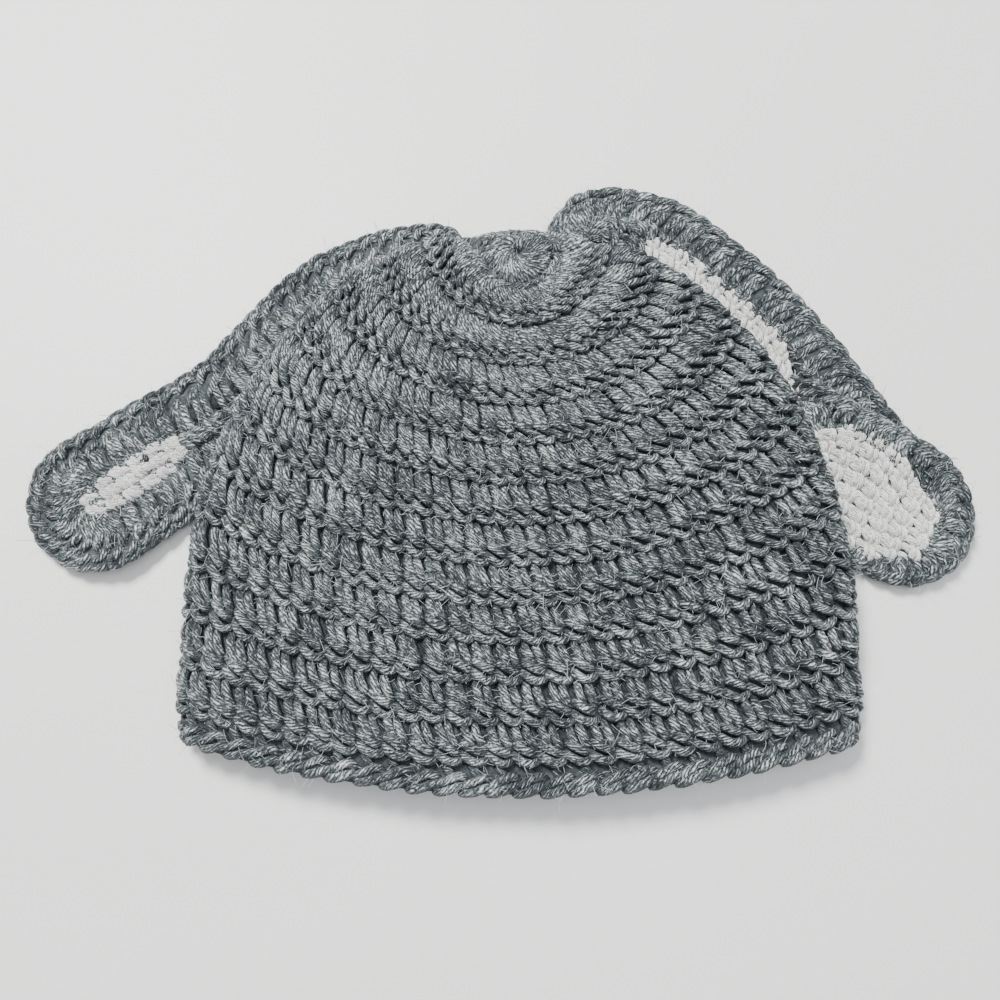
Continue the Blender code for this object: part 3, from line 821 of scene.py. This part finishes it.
def yarn_material(name, stops, sheen, sheen_tint, shine, depth):
    """Plied yarn: plies wound round each other, with lighter and darker fibres along them. The
    plies' crests are painted lighter and the grooves between them darker, as painted highlight and
    shade. depth says how much the painted shade darkens the yarn where it lies deep in the cloth."""
    shader = Shader(name)
    along, turn = shader.uv()
    rise = Wire(shader, shader.node("ShaderNodeAttribute", {"attribute_name": "rise"}, {}).outputs["Fac"])
    drift = shader.noise(shader.place(), 70.0, 0.0)
    crimp = shader.noise(shader.place(), 420.0, 1.0)
    wound = turn + along / PLY_LAY + drift * 0.9 + crimp * 0.14
    ply = abs((wound * (PLIES * math.pi)).maths("SINE"))
    angle = wound * (2 * math.pi)
    fibre_place = shader.vector(angle.maths("COSINE") * 2.6, angle.maths("SINE") * 2.6, along * 0.95)
    streak = shader.noise(fibre_place, 1.0, 1.0)
    fibre = shader.noise(fibre_place, 3.0, 2.0, 0.65)
    patch = shader.noise(shader.place(), 110.0, 3.0, 0.6)
    crumb = shader.noise(shader.place(), 1500.0, 2.0)
    height = ply**0.8 * 0.5 + fibre * 0.6 + streak * 0.35 + crumb * 0.25
    bump = shader.node("ShaderNodeBump", {}, {"Strength": 1.0, "Distance": 0.0008, "Height": height})
    # Painted highlight: where the plies' crests catch the light, in streaks along the yarn.
    painted_glint = ((streak - 0.5) * 3.2 + 0.5).clamped()
    # Painted highlight and shade: ply crests are painted lighter and the grooves between plies darker. The
    # fibre, patch and crumb terms are the yarn's own lighter and darker fibres.
    light = (
        ply**1.3 * painted_glint * 0.66
        + painted_glint * 0.10
        + (fibre - 0.5) * 1.70
        + (patch - 0.5) * 0.9
        + (crumb - 0.5) * 0.7
        + 0.205
    )
    # Painted shade: the colour is darkened where the strand lies deep in the cloth and on its sides that
    # face into it.
    light = (light * (rise * depth + (1 - depth))).clamped()
    shader.feed(Base_Color=shader.ramp(light, stops), Roughness=0.46, Normal=bump.outputs[0])
    shader.feed(Specular_IOR_Level=shine, Sheen_Weight=sheen, Sheen_Roughness=0.4, Sheen_Tint=sheen_tint)
    return shader.material


def lining_material(name, dark, light, across, down):
    """The inner side of the crocheted cloth, with rows of bars down it and stitches across. Its colour is
    painted dark, as the shade that fills the gaps between the stitches over it, and painted darker still in
    the grooves of its bars.
    """
    shader = Shader(name)
    column, row = shader.uv()
    bars = abs((row * (down * math.pi)).maths("SINE"))
    stitches = abs((column * (across * math.pi) + row * 3.0).maths("SINE"))
    rough = shader.noise(shader.place(), 900.0, 3.0, 0.6)
    height = bars**0.6 * 0.5 + stitches * 0.4 + rough * 0.5
    bump = shader.node("ShaderNodeBump", {}, {"Strength": 0.8, "Distance": 0.0012, "Height": height})
    # Painted shade: darker in the grooves between the bars and stitches.
    shade = (height * 0.6 + (rough - 0.5) * 0.8).clamped()
    shader.feed(Base_Color=shader.ramp(shade, [(0.15, dark), (0.85, light)]), Roughness=0.85)
    shader.feed(Normal=bump.outputs[0], Sheen_Weight=0.2, Specular_IOR_Level=0.2)
    return shader.material


# Colours for the painted light value, from the painted shade deep between plies and strands to the painted
# highlight on ply crests.
GREY_STOPS = [
    (0.00, (0.008, 0.011, 0.014)),
    (0.25, (0.034, 0.043, 0.049)),
    (0.56, (0.165, 0.192, 0.199)),
    (0.88, (0.740, 0.775, 0.770)),
]
WHITE_STOPS = [
    (0.00, (0.270, 0.270, 0.250)),
    (0.24, (0.780, 0.775, 0.745)),
    (0.54, (1.000, 0.998, 0.985)),
]
GREY_YARN = yarn_material("heather grey yarn", GREY_STOPS, 0.08, (0.8, 0.9, 0.95, 1.0), 0.32, 0.82)
WHITE_YARN = yarn_material("off-white yarn", WHITE_STOPS, 1.0, (1.0, 1.0, 0.97, 1.0), 0.8, 0.62)
# Both linings are painted far darker than their yarns, as the shade in the gaps between stitches.
GREY_SHADE_LINING = lining_material("grey inner cloth in painted shade", (0.010, 0.014, 0.016), (0.075, 0.090, 0.095), 56, 14)
WHITE_SHADE_LINING = lining_material("white inner cloth in painted shade", (0.16, 0.155, 0.14), (0.50, 0.49, 0.46), 8, 12)


def lay_lining(name, cloth, material, columns, rows, last_row, depth, thickness, close=False):
    """A thin cloth that lies just under the stitches of a surface."""
    bm = bmesh.new()
    uv = bm.loops.layers.uv.new("UVMap")
    bmesh.ops.create_grid(bm, x_segments=columns, y_segments=rows, size=1.0, calc_uvs=True)
    for face in bm.faces:
        for loop in face.loops:
            loop[uv].uv = ((loop.vert.co.x + 1) / 2, (loop.vert.co.y + 1) / 2)
    for vert in bm.verts:
        column, row = (vert.co.x + 1) / 2, (vert.co.y + 1) / 2 * last_row
        point, normal = cloth.at(column, row)
        vert.co = Vector(point - normal * depth)
        vert.co.z = max(vert.co.z, 0.5 * MM)
    bmesh.ops.remove_doubles(bm, verts=bm.verts, dist=SAME_PLACE)
    if close:
        crown = Vector((0, HAT_LENGTH / 2 - POLE * HAT_LENGTH))
        open_edges = [edge for edge in bm.edges if edge.is_boundary]
        rim = [e for e in open_edges if all((crown - v.co.xy).length < CROWN_RIM for v in e.verts)]
        bmesh.ops.holes_fill(bm, edges=rim, sides=0)
    bmesh.ops.recalc_face_normals(bm, faces=bm.faces)
    mesh = bpy.data.meshes.new(name)
    bm.to_mesh(mesh)
    bm.free()
    piece = new_piece(name, mesh, material)
    solid = piece.modifiers.new("Cloth thickness", "SOLIDIFY")
    solid.thickness = thickness
    solid.offset = -1.0
    return piece


def thin_copy(node, name, material, depth):
    """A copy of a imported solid, a little thinner, that lies inside the stitches."""
    bm = bmesh.new()
    bm.from_mesh(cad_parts[node].data)
    bmesh.ops.remove_doubles(bm, verts=bm.verts, dist=SAME_PLACE)
    uv = bm.loops.layers.uv.get("UVMap") or bm.loops.layers.uv.new("UVMap")
    for face in bm.faces:
        for loop in face.loops:
            loop[uv].uv = loop.vert.co.xy / HAT_WIDTH
    mesh = bpy.data.meshes.new(name)
    bm.to_mesh(mesh)
    bm.free()
    piece = new_piece(name, mesh, material)
    thinner = piece.modifiers.new("Thinner", "DISPLACE")
    thinner.strength = -depth
    thinner.mid_level = 0.0
    return piece


def build_hat():
    """The hat's rounds of stitches on both layers, and the cloth inside them."""
    cloth, lengths = hat_cloth()
    front = Yarn("hat_stitches_front", seed=11)
    back = Yarn("hat_stitches_back", seed=12)
    for j in range(TALL_ROUNDS + 1):
        edging = j == TALL_ROUNDS
        count = round(lengths[j + 1] / MM / ROUND_PITCH[j])
        turn = front.rng.random()
        for i in range(count):
            column = (i + turn) / count
            lower = column % 1.0 > 0.5
            yarn = back if lower else front
            strands = EDGING_STITCH if edging else CROWN_STITCH if j == 0 else TALL_STITCH
            sink = STITCH_SINK - (CROWN_STEP if j < CROWN_ROUNDS else 0.0)
            out = BACK_OUT if lower else 1.0
            lay_stitch(yarn, cloth, strands, column, j, 1 / count, 1.0, out=out, sink=sink)
    front_piece = front.build(GREY_YARN, "grey_yarn")
    back_piece = back.build(GREY_YARN, "grey_yarn")
    # The cloth inside the stitches is painted dark, as the shade in the gaps between them.
    lining = lay_lining("hat_inner_cloth", cloth, GREY_SHADE_LINING, 96, 28,
                        TALL_ROUNDS + 0.86, 2.3 * MM, 1.4 * MM, close=True)
    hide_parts("hat_body")
    return front


def build_border(name, cloth, length, pitch, seed):
    """One row of stitches along a border cloth, in yarn that lies looser than the hat's."""
    yarn = Yarn(name, radius=BORDER_YARN_RADIUS, seed=seed)
    count = round(length / MM / pitch)
    for i in range(count):
        lay_stitch(yarn, cloth, BORDER_STITCH, (i + 0.5) / count, 0.0, 1 / count, 1.0)
    return yarn


def lay_rows(yarn, cloth, edges, start, end, pitches, sink):
    """Rows of stitches across a panel cloth, from one end of it to the other."""
    pitch, row_pitch = pitches
    length = (end - start) / MM
    rows = max(round(length / row_pitch), 1)
    for j in range(rows):
        left, right = edges(start + (end - start) * (j + 0.5) / rows)
        count = max(round((left - right) / MM / pitch), 1)
        for i in range(count):
            lay_stitch(yarn, cloth, TALL_STITCH, (i + 0.5) / count, j / rows * length, 1 / count,
                       length / rows, loose=PANEL_LOOSE, sink=sink)


def build_panel(name, route, lift, edges, start, end, pitches, seed):
    """A white panel's stitches, and the cloth under them."""
    cloth = panel_cloth(route, lift, edges, start, end)
    yarn = Yarn(name, radius=PANEL_YARN_RADIUS, seed=seed)
    lay_rows(yarn, cloth, edges, start, end, pitches, PANEL_SINK)
    # The cloth under the white stitches is painted darker, as the shade in the gaps between them.
    under = lay_lining(name + "_cloth", cloth, WHITE_SHADE_LINING, 10, 30,
                       (end - start) / MM, 1.2 * MM, 0.8 * MM)
    return yarn, under


def fill_grey(yarn, route, lift, edges, start, end):
    """Grey stitches where an ear's two borders meet."""
    cloth = panel_cloth(route, lift, edges, start, end)
    lay_rows(yarn, cloth, edges, start, end, FILL_PITCH, FILL_SINK)


def build_left_ear():
    """The left ear: a border that opens round a narrow white panel near the tip."""
    tip = LEFT_EAR_WIDTH / 2
    start, end = LEFT_PANEL_START, LEFT.length + LEFT_PANEL_PAST

    def half_gap(along):
        share = min(max((along - start) / (end - start), 0.0), 1.0)
        return LEFT_GAP + LEFT_GAP_SWELL * math.sqrt(4 * share * (1 - share))

    def width(along, side):
        return LEFT_TIP_BORDER if along is None else tip - half_gap(along) - LEFT_BORDER_SHORT

    cloth, length = border_cloth(LEFT, left_lift, width, tip)
    border = build_border("left_ear_border", cloth, length, LEFT_PITCH, 21)
    fill_grey(border, LEFT, left_lift, lambda along: (LEFT_FILL, -LEFT_FILL), LEFT_FILL_START, start)
    border_piece = border.build(GREY_YARN, "grey_yarn")
    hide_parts("left_ear_back")

    def edges(along):
        half = half_gap(along) + LEFT_PANEL_LAP
        return half, -half

    white, under = build_panel("left_ear_panel", LEFT, left_lift, edges, start, end, LEFT_PANEL_PITCH, 22)
    white_piece = white.build(WHITE_YARN, "white_yarn")
    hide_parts("left_ear_front")
    # The ear's inner cloth is painted dark, as the shade in the gaps between its stitches.
    cloth_piece = thin_copy("left_ear_back", "left_ear_cloth", GREY_SHADE_LINING, 0.9 * MM)
    return [border], [white]


def build_right_ear():
    """The right ear: an upper section with a white strip, and over it a tip section with a panel."""
    tip = RIGHT_TIP_WIDTH / 2

    def width(along, side):
        return RIGHT_BORDER

    def tip_width(along, side):
        if along is None:
            return RIGHT_TIP_BORDER
        if side < 0:
            return RIGHT_TIP_INNER_BORDER
        return TIP_SIDE_BORDER + TIP_SIDE_SWELL * smooth((along - TIP_SWELL_FROM) / TIP_SWELL_REACH)

    def base_edges(along):
        return RIGHT.half_width_at(along) - RIGHT_FILL_SHORT, RIGHT_FILL_INNER

    upper, length = border_cloth(RIGHT, level, width, 0.0, sides=(1,))
    border = build_border("right_ear_border", upper, length, RIGHT_PITCH, 31)
    fill_grey(border, RIGHT, level, base_edges, *RIGHT_FILL_ROWS)
    around, tip_length = border_cloth(RIGHT_TIP, tip_lift, tip_width, tip)
    tip_border = build_border("right_tip_border", around, tip_length, TIP_PITCH, 32)
    fill_grey(tip_border, RIGHT_TIP, tip_lift, lambda along: TIP_FILL_EDGES, *TIP_FILL_ROWS)
    border_piece = border.build(GREY_YARN, "grey_yarn")
    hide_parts("right_ear_back")
    tip_piece = tip_border.build(GREY_YARN, "grey_yarn")

    def strip(along):
        half = RIGHT_PANEL.half_width_at(along)
        taper = smooth((along - STRIP_TAPER_FROM) / STRIP_TAPER_REACH)
        return half + STRIP_LAP - STRIP_TAPER * taper, -half * (1 - 0.9 * taper)

    def tip_edges(along):
        right = TIP_PANEL_RIGHT + TIP_PANEL_DRAWN_IN * smooth((along - DRAWN_IN_FROM) / DRAWN_IN_REACH)
        return float(np.interp(along, TIP_PANEL_ROWS, TIP_PANEL_LEFT)), right

    white, under = build_panel("right_ear_panel", RIGHT_PANEL, level, strip, 0.0, STRIP_LENGTH,
                               STRIP_PITCH, 33)
    white_tip, tip_under = build_panel("right_tip_panel", RIGHT_TIP, tip_panel_lift, tip_edges,
                                       TIP_PANEL_START, RIGHT_TIP.length + TIP_PANEL_PAST,
                                       TIP_PANEL_PITCH, 34)
    white_piece = white.build(WHITE_YARN, "white_yarn")
    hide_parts("right_ear_front")
    white_tip_piece = white_tip.build(WHITE_YARN, "white_yarn")
    # The ear's inner cloth is painted dark, as the shade in the gaps between its stitches.
    cloth_piece = thin_copy("right_ear_back", "right_ear_cloth", GREY_SHADE_LINING, 0.9 * MM)
    return [border, tip_border], [white, white_tip]


def fuzz(name, yarns, count, material, slot, seed):
    """Loose fibres that stand off the yarn."""
    hairs = Yarn(name, radius=FIBRE_RADIUS, resolution=0, seed=seed)
    rng = hairs.rng
    pool = [path for yarn in yarns for path in yarn.paths]
    for _ in range(count):
        path = pool[rng.randrange(len(pool))]
        i = rng.randrange(1, len(path) - 1)
        out = np.array([rng.gauss(0, 1), rng.gauss(0, 1), abs(rng.gauss(0.3, 0.8))])
        out /= np.linalg.norm(out)
        curl = np.array([rng.gauss(0, 1), rng.gauss(0, 1), rng.gauss(0, 0.6)])
        curl /= np.linalg.norm(curl)
        size = rng.uniform(*FIBRE_LENGTHS) * MM
        start = path[i] + out * YARN_RADIUS * 0.7
        points = [start + out * size * t + curl * size * 0.6 * t * t for t in (0, 0.35, 0.7, 1.0)]
        points = np.array(points)
        points[:, 2] = np.maximum(points[:, 2], 0.1 * MM)
        hairs.add(points, rng.uniform(0.7, 1.2))
    return hairs.build(material, slot)


def fibre_material(name, colour):
    """Loose fibres, lighter and darker from place to place."""
    shader = Shader(name)
    tone = shader.noise(shader.place(), 300.0, 1.0)
    light = tuple(min(c * 1.5, 1.0) for c in colour)
    shader.feed(Base_Color=shader.ramp(tone, [(0.3, colour), (0.7, light)]), Roughness=0.6)
    shader.feed(Sheen_Weight=0.3)
    return shader.material


def build_room():
    """The pale counter, soft light and the camera."""
    bm = bmesh.new()
    bmesh.ops.create_grid(bm, x_segments=1, y_segments=1, size=3.0)
    mesh = bpy.data.meshes.new("counter")
    bm.to_mesh(mesh)
    bm.free()
    counter = bpy.data.objects.new("counter", mesh)
    bpy.context.scene.collection.objects.link(counter)
    shader = Shader("pale counter")
    tone = shader.noise(shader.place(), 6.0, 3.0)
    stops = [(0.3, (0.77, 0.76, 0.74)), (0.7, (0.81, 0.805, 0.79))]
    shader.feed(Base_Color=shader.ramp(tone, stops), Roughness=0.5)
    mesh.materials.append(shader.material)
    world = bpy.data.worlds.new("soft room")
    bpy.context.scene.world = world
    world.use_nodes = True
    sky = world.node_tree.nodes["Background"]
    sky.inputs["Color"].default_value = (0.92, 0.96, 1.0, 1.0)
    sky.inputs["Strength"].default_value = 0.46
    for name, place, size, power, colour in (
        ("window", (-0.45, 0.65, 1.10), 0.40, 39.0, (1.0, 0.985, 0.96)),
        ("ceiling", (0.30, -0.10, 1.40), 1.20, 13.0, (0.94, 0.97, 1.0)),
    ):
        light = bpy.data.lights.new(name, "AREA")
        light.size = size
        light.energy = power
        light.color = colour
        lamp = bpy.data.objects.new(name, light)
        lamp.location = place
        lamp.rotation_euler = (-Vector(place)).to_track_quat("-Z", "Y").to_euler()
        bpy.context.scene.collection.objects.link(lamp)
    camera = bpy.data.cameras.new("camera")
    camera.lens = 36.0
    camera.sensor_width = 36.0
    camera.clip_start = 0.01
    eye = bpy.data.objects.new("camera", camera)
    eye.location = (-0.0052, -0.06925, 0.27974)
    eye.rotation_euler = (math.radians(14), 0.0, 0.0)
    bpy.context.scene.collection.objects.link(eye)
    bpy.context.scene.camera = eye


hat_front = build_hat()
left_grey, left_white = build_left_ear()
right_grey, right_white = build_right_ear()
GREY_FIBRE = fibre_material("loose grey fibre", (0.30, 0.34, 0.35))
WHITE_FIBRE = fibre_material("loose white fibre", (0.75, 0.74, 0.70))
fuzz("grey_fuzz", [hat_front, *left_grey, *right_grey], 6600, GREY_FIBRE, "grey_yarn", 41)
fuzz("white_fuzz", [*left_white, *right_white], 1300, WHITE_FIBRE, "white_yarn", 42)
build_room()
